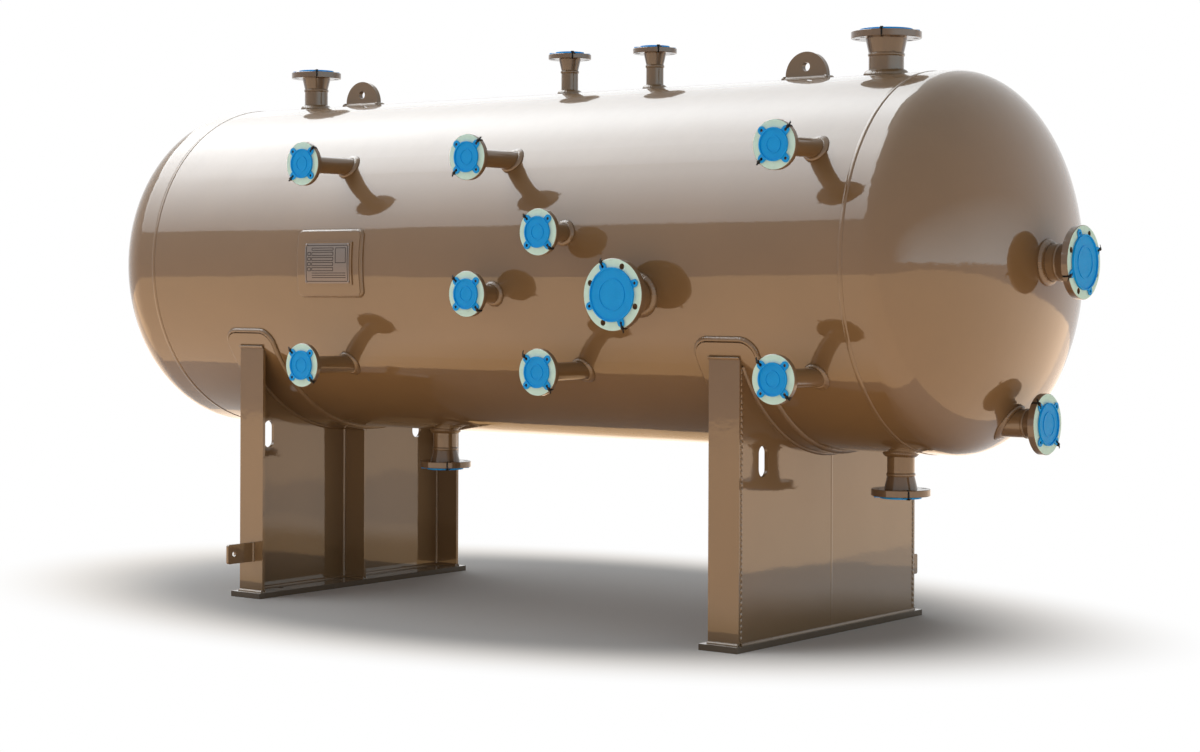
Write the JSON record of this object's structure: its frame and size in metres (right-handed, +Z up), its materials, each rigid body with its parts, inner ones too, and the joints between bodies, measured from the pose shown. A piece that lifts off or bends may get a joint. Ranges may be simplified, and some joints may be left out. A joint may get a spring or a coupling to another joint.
{
  "type": "separator vessel",
  "caption": "Horizontal pressure vessel on two saddles, with flanged side, top, bottom and end nozzles under transit covers, lifting lugs, earthing lugs and a blank nameplate.",
  "frame": {"origin": "on the floor under the drum's axis, at the centre of the four anchor bolts", "axes": "+X along the drum towards the flanged head, -Y the nozzle side, +Z up"},
  "size_m": [3.8863, 1.4165, 1.9715],
  "materials": {
    "vessel_paint": "gloss",
    "flange_paint": "gloss, gasket face pale grey-green",
    "base_plate_paint": "gloss, scuffed on top",
    "cover_plastic": "moulded",
    "nameplate_steel": "brushed, blank"
  },
  "bodies": {
    "root": {"bottom_covers": "cover_plastic", "bottom_left_flange": "flange_paint", "bottom_necks": "vessel_paint", "bottom_right_flange": "flange_paint", "front_covers": "cover_plastic", "front_inlet_flange": "flange_paint", "front_lower_left_flange": "flange_paint", "front_lower_middle_flange": "flange_paint", "front_lower_right_flange": "flange_paint", "front_middle_high_flange": "flange_paint", "front_middle_low_flange": "flange_paint", "front_necks": "vessel_paint", "front_upper_left_flange": "flange_paint", "front_upper_middle_flange": "flange_paint", "front_upper_right_flange": "flange_paint", "head_centre_flange": "flange_paint", "head_covers": "cover_plastic", "head_lower_flange": "flange_paint", "head_necks": "vessel_paint", "left_base_plate": "base_plate_paint", "left_earthing_lug": "vessel_paint", "left_front_rib": "vessel_paint", "left_head": "vessel_paint", "left_lifting_lug": "vessel_paint", "left_middle_rib": "vessel_paint", "left_rear_rib": "vessel_paint", "left_wear_plate": "vessel_paint", "left_web": "vessel_paint", "nameplate": "nameplate_steel", "nameplate_bracket": "vessel_paint", "right_base_plate": "base_plate_paint", "right_earthing_lug": "vessel_paint", "right_front_rib": "vessel_paint", "right_head": "vessel_paint", "right_lifting_lug": "vessel_paint", "right_middle_rib": "vessel_paint", "right_rear_rib": "vessel_paint", "right_wear_plate": "vessel_paint", "right_web": "vessel_paint", "shell": "vessel_paint", "top_covers": "cover_plastic", "top_left_flange": "flange_paint", "top_middle_flange": "flange_paint", "top_middle_right_flange": "flange_paint", "top_necks": "vessel_paint", "top_outlet_flange": "flange_paint"}
  },
  "joints": []
}
